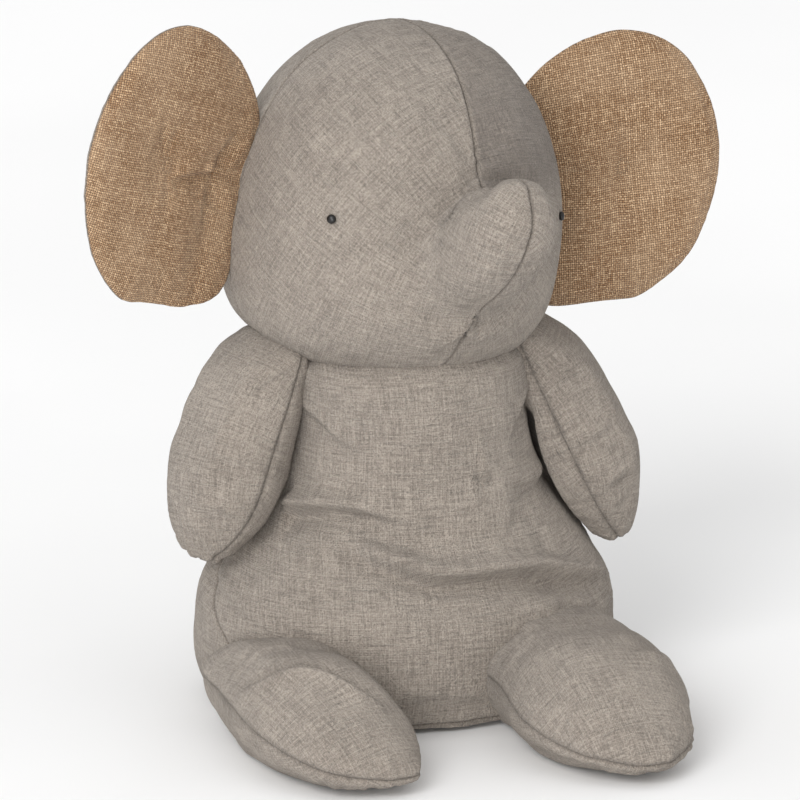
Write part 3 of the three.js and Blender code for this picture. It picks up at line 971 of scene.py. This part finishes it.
def make_head():
    obj = head_form()
    points = points_of(obj)
    forward, up, across = -points[:, 1], points[:, 2], np.abs(points[:, 0])
    root = smooth(forward, 55, 72) * (1 - smooth(forward, 96, 112)) * (1 - smooth(across, 42, 60))
    crease = smooth(up, 12, 30) * (1 - smooth(across, 16, 30))
    relax(obj, root * (1 - 0.75 * crease) * (1 - smooth(up, 55, 70)), 26)
    relax(obj, np.full(len(points), 0.5), 2)
    cut_seam(obj, lambda p: p[:, 0] + 0.5 * np.sin(p[:, 2] / 23))
    cut_seam(obj, lambda p: p[:, 1] - EAR_SEAM_Y + 0.6 * np.sin(p[:, 0] / 29))
    stuff(obj, pressure=2.0, cap=2.5, gather=0.045)
    unwrap(obj, bias=26)
    finer(obj)
    lumps(obj, small=0.3, large=0.8, seed=3)

    def trunk_seam(seam):
        under_chin = 0.5 * smooth(-seam[:, 2], 20, 50) * (seam[:, 1] < -30)
        return 1.1 * smooth(-seam[:, 1], 88, 104) + under_chin

    fold(obj, TRUNK_CREASE, 1.4, 9, 0.2)
    sew(obj, pucker=0.6, reach=8.0, pitch=5.5, more=trunk_seam)
    # Painted shade: the left side of the forehead, past the seam, is darkened in colour where it turns
    # away from the light.
    points = points_of(obj)
    painted_forehead_shade = smooth(points[:, 0], 0.3, 1.8) * smooth(points[:, 2], 18, 44) * smooth(-points[:, 1], 0, 26)
    painted_forehead_shade *= (1 - 0.5 * smooth(points[:, 2], 66, 96)) * (1 - smooth(-points[:, 1], 84, 92))
    paint(obj, "painted_forehead_shade", painted_forehead_shade)
    return carry(obj, HEAD_TURN, HEAD_MIDDLE)


def on_head(p):
    return HEAD_TURN @ np.asarray(p, float) + HEAD_MIDDLE


# ---- Ears ----

EAR_OUTLINE = [  # out from the root, up from the ear's middle
    (-15, 28), (-6, 44), (9, 58), (27, 66), (44, 69), (59, 66), (73, 57), (83, 42), (90, 22), (92, 3),
    (89, -16), (82, -35), (71, -52), (56, -64), (41, -69), (24, -68), (2, -66), (-17, -55), (-20, -28),
    (-16, 2),
]
EAR_ROUND = 97.0  # degrees round the head from the face
EAR_RISE = {"right": 23.0, "left": 20.0}
EAR_REACH = {"right": 89.0, "left": 83.0}
EAR_WIDE = {"right": 1.0, "left": 1.05}
EAR_FORWARD, EAR_LEAN = 10.0, 12.0
EAR_HALF_THICK = 6.6
EAR_BEND = (2, 24)  # two distances out from the ear's root, given to bend
EAR_PLEAT = [(4, -5, 2), (15, -7, 0), (28, -8, -4), (38, -8, -8)]
EAR_ROOT_CREASE = [(-2, -6, 26), (6, -7, 10), (8, -7, -12), (2, -6, -34)]
EAR_CLOTH = 0.9


def ear_root(side, sign):
    turn, reach = math.radians(EAR_ROUND), EAR_REACH[side]
    return on_head((sign * reach * math.sin(turn), -reach * math.cos(turn), EAR_RISE[side]))


def make_ear(side, sign):
    def rise(u, v, s):
        near = smooth(u, -8, 30)
        height = EAR_HALF_THICK * mix(0.55, 1.0, near) * max(1 - s**2.6, 0) ** 0.55
        return height * 0.9, height

    def place(u, v, h):
        v = np.broadcast_to(v, u.shape)
        cup = -5.5 * (np.clip(u, 0, None) / 90) ** 2 - 2.5 * (v / 68) ** 2
        return np.column_stack([u * sign * EAR_WIDE[side], cup - h, v])

    obj = pillow(f"ear_{side}_cover", closed_outline(EAR_OUTLINE, 150), (42, 0), rise, place, 22)
    stuff(obj, pressure=1.2, cap=2.5, gather=0.07)
    finer(obj)
    lumps(obj, small=0.35, large=0.9, seed=10 + sign)
    pleat, crease = ([(x * sign, y, z) for x, y, z in line] for line in (EAR_PLEAT, EAR_ROOT_CREASE))
    if side == "right":
        fold(obj, pleat, 3.0, 5.0, 0.9)
    fold(obj, crease, 2.2, 7.0, 0.3, above=(sign, 0, 0))
    sew(obj, depth=1.2, ridge=0.3, pucker=0.55, reach=5.5, pitch=4.5)
    turn = HEAD_TURN @ rotation("Z", -sign * EAR_FORWARD) @ rotation("Y", -sign * EAR_LEAN)
    return carry(obj, turn, ear_root(side, sign))


def split_ear(obj, side):
    """The tan front and the grey back, parted at the seam and given the cloth's thickness."""
    made = []
    for panel, name in ((0, "face"), (1, "back")):
        part = link(f"ear_{side}_{name}_cloth", obj.data.copy())
        with editing(part) as bm:
            others = [f for f in bm.faces if f.material_index != panel]
            bmesh.ops.delete(bm, geom=others, context="FACES")
        made.append(with_modifier(part, "SOLIDIFY", thickness=EAR_CLOTH * MM, offset=-1))
    bpy.data.objects.remove(obj)
    return made


# ---- Eyes and tail ----


BEAD_RADIUS, BEAD_HALF_HEIGHT = 2.25, 1.5
DIMPLE_DEPTH, DIMPLE_RADIUS = 1.3, 3.6


def make_bead(side, head):
    centre = np.mean(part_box(f"eye_{side}"), axis=0) / MM
    inward = HEAD_MIDDLE + (0, 0, 14) - centre
    start = centre - inward * 0.3
    _, place, normal, _ = head.ray_cast(Vector(start * MM), Vector(inward).normalized())
    place, normal = np.array(place) / MM, np.array(normal)
    turn = circle(24)
    rings = []
    for a in np.radians(np.linspace(-80, 80, 11)):
        reach, height = BEAD_RADIUS * math.cos(a), BEAD_HALF_HEIGHT * math.sin(a)
        level = np.full_like(turn, height)
        rings.append(np.column_stack([reach * np.cos(turn), reach * np.sin(turn), level]))
    obj = new_object(f"eye_{side}_bead", *rings_mesh(rings))
    # The bead is pulled into the cloth by its thread.
    surface = points_of(head)
    gap = np.linalg.norm(surface - place, axis=1)
    pull = DIMPLE_DEPTH * np.exp(-((gap / DIMPLE_RADIUS) ** 2))
    move_to(head, surface - normal * pull[:, None])
    aim = np.array(Vector(normal).to_track_quat("Z", "Y").to_matrix())
    return carry(obj, aim, place + normal * 0.2)


TAIL_RINGS, TAIL_SIDES = 40, 32
TAIL_TOP_RADIUS, TAIL_TIP_RADIUS, TAIL_SAG = 5.4, 4.0, 3.0
TAIL_AXIS_Y, TAIL_CLOTH_RADIUS = 90.0, 5.0


def make_tail():
    low, high = (np.array(p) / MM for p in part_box("tail"))
    turn = circle(TAIL_SIDES)
    top = np.array([0.0, low[1] + 6.5, high[2]])
    foot = np.array([0.0, high[1] - 4.5, low[2] + 3])
    rings = []
    for t in np.linspace(0.01, 0.99, TAIL_RINGS):
        ends = min(1, (t / 0.07) ** 0.5, ((1 - t) / 0.09) ** 0.5)
        radius = mix(TAIL_TOP_RADIUS, TAIL_TIP_RADIUS, t) * ends
        _, y, z = mix(top, foot, t) + np.array([0, -TAIL_SAG * math.sin(math.pi * t), 0])
        level = np.full_like(turn, z)
        rings.append(np.column_stack([radius * np.sin(turn), y - radius * np.cos(turn) * 0.9, level]))
    obj = outward(new_object("tail_cover", *rings_mesh(rings)))
    # One seam runs down the back.
    back = TAIL_SIDES // 2
    for edge in obj.data.edges:
        edge.use_seam = all(
            v < TAIL_RINGS * TAIL_SIDES and v % TAIL_SIDES == back for v in edge.vertices
        )
    unwrap_tail(obj)
    finer(obj)
    sew(obj, depth=1.0, ridge=0.2, pucker=0.3, reach=3.5, pitch=3.5)
    return obj


def unwrap_tail(obj):
    """Rolls the cloth off round an upright line through the tail."""
    mesh = obj.data
    layer = mesh.uv_layers.new(name="cloth")
    x, y, z = points_of(obj)[[loop.vertex_index for loop in mesh.loops]].T
    uv = np.column_stack([np.arctan2(x, TAIL_AXIS_Y - y) * TAIL_CLOTH_RADIUS, z]) * MM
    layer.data.foreach_set("uv", uv.ravel())


# ---- Materials ----

YARN_DIP = 0.55  # how much lower a yarn lies where it passes under another
LINEN_PITCH, LINEN_WOBBLE = 0.00085, 0.0006
LINEN_DARK, LINEN_LIGHT = (0.190, 0.161, 0.135, 1), (0.545, 0.474, 0.405, 1)
# The first colour is painted shade for the left of the forehead; the second darkens the seams with dirt
# and painted shadow.
FOREHEAD_SHADE_PAINT, SEAM_SHADE = (0.110, 0.092, 0.082, 1), (0.13, 0.11, 0.09, 1)
WEAVE_PITCH, WEAVE_WOBBLE = 0.00112, 0.0009
WEAVE_DARK, WEAVE_LIGHT = (0.28, 0.150, 0.070, 1), (0.90, 0.635, 0.395, 1)
WEAVE_GAP, WEAVE_FADED = (0.070, 0.036, 0.017, 1), (0.60, 0.45, 0.31, 1)
BEAD_DARK, BEAD_WORN = (0.004, 0.0035, 0.0035, 1), (0.012, 0.010, 0.009, 1)


class Nodes:
    """Short names for building one material's nodes."""

    def __init__(self, name):
        self.material = bpy.data.materials.new(name)
        self.material.use_nodes = True
        self.tree = self.material.node_tree
        self.shader = self.tree.nodes["Principled BSDF"]

    def add(self, kind, inputs=(), **settings):
        node = self.tree.nodes.new(kind)
        for key, value in settings.items():
            setattr(node, key, value)
        for key, value in dict(inputs).items():
            self.feed(node.inputs[key], value)
        return node

    def feed(self, socket, value):
        """Links a socket, or sets a plain value."""
        if isinstance(value, bpy.types.NodeSocket):
            self.tree.links.new(value, socket)
        else:
            socket.default_value = value

    def math(self, operation, *values):
        return self.add("ShaderNodeMath", enumerate(values), operation=operation).outputs[0]

    def total(self, *terms):
        """The sum of (value, weight) pairs."""
        parts = [self.math("MULTIPLY", value, weight) for value, weight in terms]
        result = parts[0]
        for part in parts[1:]:
            result = self.math("ADD", result, part)
        return result

    def blend(self, share, a, b):
        node = self.add("ShaderNodeMix", data_type="RGBA")
        sockets = [s for s in node.inputs if s.enabled]
        for socket, value in zip(sockets, (share, a, b)):
            self.feed(socket, value)
        return next(s for s in node.outputs if s.enabled)

    def noise(self, vector, scale, detail, roughness):
        inputs = {"Vector": vector, "Scale": scale, "Detail": detail, "Roughness": roughness}
        return self.add("ShaderNodeTexNoise", inputs).outputs[0]

    def attribute(self, name):
        return self.add("ShaderNodeAttribute", attribute_name=name).outputs["Fac"]

    def finish(self, roughness, specular=None, sheen=None, **links):
        """Sets the shader's own inputs."""
        values = {"Roughness": roughness, "Specular IOR Level": specular, "Sheen Weight": sheen}
        for key, value in {**values, **links}.items():
            if value is not None:
                self.feed(self.shader.inputs[key.replace("_", " ")], value)
        return self.material

    def ramp(self, value, low, high):
        return self.add(
            "ShaderNodeMapRange", {0: value, 1: low, 2: high}, clamp=True, interpolation_type="SMOOTHSTEP"
        ).outputs[0]

    def streaks(self, u, v, across, along, seed, detail=2.0):
        """Noise drawn out along v: across and along are its sizes in metres."""
        place = self.add("ShaderNodeCombineXYZ", {
            0: self.math("MULTIPLY", u, 1 / across),
            1: self.math("MULTIPLY", v, 1 / along),
            2: seed,
        }).outputs[0]
        return self.noise(place, 1.0, detail, 0.55)

    def speckle(self, size, seed, detail=2.0):
        """Even noise through the whole piece, with size in metres."""
        place = self.add("ShaderNodeTexCoord").outputs["Object"]
        inputs = {0: place, 1: (seed, seed * 0.7, -seed)}
        moved = self.add("ShaderNodeVectorMath", inputs, operation="ADD").outputs[0]
        return self.noise(moved, 1 / size, detail, 0.6)


def cloth_uv(n):
    uv = n.add("ShaderNodeUVMap", uv_map="cloth").outputs[0]
    parts = n.add("ShaderNodeSeparateXYZ", {0: uv})
    return parts.outputs[0], parts.outputs[1]


def wobbled(n, u, v, coordinate, amount, seed):
    """Bends yarns a little: moves one coordinate by noise up to half of amount."""
    drift = n.math("SUBTRACT", n.streaks(u, v, 0.012, 0.012, seed), 0.5)
    return n.math("ADD", coordinate, n.math("MULTIPLY", drift, amount))


def yarns(n, u, v, pitch, wobble):
    """A plain weave: how high the cloth stands, where the warp shows, and each yarn's number."""
    u = wobbled(n, u, v, u, wobble, 7.0)
    v = wobbled(n, u, v, v, wobble, 9.0)
    x, y = n.math("MULTIPLY", u, 1 / pitch), n.math("MULTIPLY", v, 1 / pitch)
    ix, iy = n.math("FLOOR", x), n.math("FLOOR", y)
    # Round yarns: 0 between two yarns and 1 along the middle of one.
    warp, weft = (n.math("SINE", n.math("MULTIPLY", n.math("FRACT", c), math.pi)) for c in (x, y))
    over = n.math("MODULO", n.math("ABSOLUTE", n.math("ADD", ix, iy)), 2.0)
    dip = n.math("MULTIPLY", over, YARN_DIP)
    warp_up = n.math("MULTIPLY", warp, n.math("ADD", dip, 1 - YARN_DIP))
    weft_up = n.math("MULTIPLY", weft, n.math("SUBTRACT", 1.0, dip))
    height = n.math("MAXIMUM", warp_up, weft_up)
    return height, n.math("GREATER_THAN", warp_up, weft_up), ix, iy



def make_linen():
    n = Nodes("washed_linen")
    u, v = cloth_uv(n)
    height, *_ = yarns(n, u, v, LINEN_PITCH, LINEN_WOBBLE)
    warp = n.streaks(u, v, LINEN_PITCH, 0.016, 1.0)
    weft = n.streaks(v, u, LINEN_PITCH, 0.016, 4.0)
    # Slubs: a few yarns that are thick and pale for a few centimetres.
    slub = n.ramp(n.streaks(v, u, 0.0008, 0.030, 12.0, 1.0), 0.66, 0.74)
    slub_up = n.ramp(n.streaks(u, v, 0.0008, 0.026, 15.0, 1.0), 0.68, 0.76)
    slubs = n.math("MAXIMUM", slub, slub_up)
    threads = n.math("MULTIPLY", n.math("ADD", warp, weft), 0.5)
    fine = n.speckle(0.00095, 0.3, 3.0)
    mottle = n.speckle(0.006, 1.7, 3.0)
    broad = n.speckle(0.045, 4.1)
    tone = n.total(
        (threads, 0.50), (fine, 0.40), (mottle, 0.08), (broad, 0.10), (slubs, 0.08), (height, 0.07)
    )
    colour = n.blend(n.ramp(tone, 0.42, 0.80), LINEN_DARK, LINEN_LIGHT)
    # Painted shade over the left of the forehead, where it turns from the light.
    colour = n.blend(n.math("MULTIPLY", n.attribute("painted_forehead_shade"), 0.42), colour, FOREHEAD_SHADE_PAINT)
    colour = n.blend(n.math("MULTIPLY", n.attribute("seam"), 0.55), colour, SEAM_SHADE)
    surface = n.total((height, 0.35), (threads, 0.6), (fine, 2.0), (slubs, 0.7))
    bump = n.add("ShaderNodeBump", {"Strength": 1.0, "Distance": 0.0009, "Height": surface})
    inputs = {"Strength": 0.4, "Distance": 0.0016, "Height": mottle, "Normal": bump.outputs[0]}
    wave = n.add("ShaderNodeBump", inputs)
    return n.finish(
        0.93, 0.12, 0.18, Base_Color=colour, Normal=wave.outputs[0], Sheen_Roughness=0.5
    )


def make_weave():
    n = Nodes("coarse_tan_weave")
    u, v = cloth_uv(n)
    height, warp_shows, ix, iy = yarns(n, u, v, WEAVE_PITCH, WEAVE_WOBBLE)
    shades = []
    for a, b, number, seed in ((u, v, ix, 21.0), (v, u, n.math("ADD", iy, 91.0), 24.0)):
        along = n.streaks(a, b, 0.0011, 0.0045, seed, 3.0)
        each = n.add("ShaderNodeTexWhiteNoise", {"W": number}, noise_dimensions="1D").outputs[0]
        shades.append(n.total((along, 0.95), (each, 0.13)))
    shade = n.total((shades[0], warp_shows), (shades[1], n.math("SUBTRACT", 1.0, warp_shows)))
    shade = n.total((shade, 0.8), (n.speckle(0.0009, 2.2, 3.0), 0.25))
    colour = n.blend(n.ramp(shade, 0.40, 0.84), WEAVE_DARK, WEAVE_LIGHT)
    colour = n.blend(n.math("MULTIPLY", n.ramp(height, 0.80, 0.36), 0.88), colour, WEAVE_GAP)
    faded = n.math("MULTIPLY", n.ramp(n.speckle(0.03, 6.0), 0.35, 0.7), 0.16)
    colour = n.blend(faded, colour, WEAVE_FADED)
    surface = n.total((height, 1.0), (shade, 0.35))
    bump = n.add("ShaderNodeBump", {"Strength": 0.9, "Distance": 0.0006, "Height": surface})
    return n.finish(0.86, 0.2, 0.1, Base_Color=colour, Normal=bump.outputs[0])


def make_bead_black():
    n = Nodes("black_bead")
    worn = n.speckle(0.0012, 0.4)
    roughness = n.add("ShaderNodeMapRange", {0: worn, 3: 0.22, 4: 0.42}).outputs[0]
    return n.finish(roughness, Base_Color=n.blend(n.ramp(worn, 0.4, 0.8), BEAD_DARK, BEAD_WORN))


# ---- The toy ----

linen, weave, black = make_linen(), make_weave(), make_bead_black()


def dress(obj, material):
    obj.data.materials.clear()
    obj.data.materials.append(material)
    obj.data.polygons.foreach_set("material_index", [0] * len(obj.data.polygons))


def bend(obj, fixed, moving, start, end):
    """Bakes the piece's place into its mesh."""
    np.asarray(start) * MM
    np.asarray(end) * MM
    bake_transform(obj)


torso = make_torso()
stuff(torso, pressure=1.5, cap=2.5, gather=0.04)
finer(torso)
lumps(torso, small=0.4, large=1.4, seed=1)
crease_torso(torso)
sew(torso, pucker=0.6, reach=8.0)
settle(torso)
dress(torso, linen)
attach(torso, "torso")
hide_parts(*bodies["torso"])

head = make_head()
beads = {side: make_bead(side, head) for side, _ in SIDES}
dress(head, linen)
trunk_root = on_head(TRUNK_ROOT)
trunk_way = HEAD_TURN @ np.array(TRUNK_AHEAD)
bend(head, "head", "trunk", trunk_root, trunk_root + trunk_way * TRUNK_BEND)
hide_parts(*[n for n in bodies["head"] if not n.startswith("eye")], *bodies["trunk"])

for side, sign in SIDES:
    bead = beads[side]
    dress(bead, black)
    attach(bead, "head")
    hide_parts(f"eye_{side}")

    face, back = split_ear(make_ear(side, sign), side)
    dress(face, weave)
    dress(back, linen)
    root = ear_root(side, sign)
    out = HEAD_TURN @ rotation("Z", -sign * EAR_FORWARD) @ np.array([sign, 0, 0])
    for piece in (face, back):
        bend(piece, "head", f"ear_{side}", *(root + out * reach for reach in EAR_BEND))
    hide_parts(f"ear_{side}_front", f"ear_{side}_wadding")
    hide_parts(f"ear_{side}_back")

    arm = make_arm(side, sign)
    dress(arm, linen)
    down = arm_hang(side, sign) @ np.array([0, 0, -1.0])
    bend(arm, "torso", f"arm_{side}", *(SHOULDER[side] + down * reach for reach in ARM_BEND))
    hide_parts(*bodies[f"arm_{side}"])

    leg = make_leg(side, sign)
    dress(leg, linen)
    bend(leg, "torso", f"leg_{side}", *LEG_BEND)
    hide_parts(*bodies[f"leg_{side}"])

tail = make_tail()
dress(tail, linen)
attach(tail, "tail")
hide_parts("tail")

# ---- Floor, light and background ----


FLOOR_HALF = 6000
FLOOR_DARK, FLOOR_LIGHT = (0.89, 0.89, 0.89, 1), (0.92, 0.92, 0.92, 1)
LIGHT_AIM_Z = 0.15  # metres


def make_floor():
    n = Nodes("pale_floor")
    tone = n.ramp(n.speckle(0.4, 1.0), 0.3, 0.7)
    n.finish(0.9, Base_Color=n.blend(tone, FLOOR_DARK, FLOOR_LIGHT))
    corners = [(FLOOR_HALF * x, FLOOR_HALF * y, 0) for x, y in ((-1, -1), (1, -1), (1, 1), (-1, 1))]
    floor = new_object("floor", corners, [(0, 1, 2, 3)])
    floor.location.z = -0.4 * MM
    floor.data.materials.append(n.material)
    floor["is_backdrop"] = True


def add_light(name, kind, azimuth, elevation, strength):
    """A light that shines from a direction, with no place or size of its own yet."""
    light = bpy.data.lights.new(name, kind)
    light.energy = strength
    obj = link(name, light)
    away = Vector(direction(azimuth, elevation))
    obj.rotation_euler = away.to_track_quat("Z", "Y").to_euler()
    return obj, light, away


def area_light(name, azimuth, elevation, distance, size, power):
    obj, light, away = add_light(name, "AREA", azimuth, elevation, power)
    light.size = size
    obj.location = away * distance + Vector((0, 0, LIGHT_AIM_Z))


def sun_light(name, azimuth, elevation, strength, softness):
    _, light, _ = add_light(name, "SUN", azimuth, elevation, strength)
    light.angle = math.radians(softness)


make_floor()
sun_light("key", azimuth=-42, elevation=34, strength=1.4, softness=30)
area_light("fill", azimuth=-24, elevation=2, distance=2.2, size=0.9, power=22)
world = bpy.data.worlds.new("studio")
world.use_nodes = True
background = world.node_tree.nodes["Background"]
background.inputs["Color"].default_value = (1, 1, 1, 1)
background.inputs["Strength"].default_value = 0.82
scene.world = world

({name: [[float(c) for c in corner] for corner in box]
           for name, box in (("cad", cad_box), ("visual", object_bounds()))})
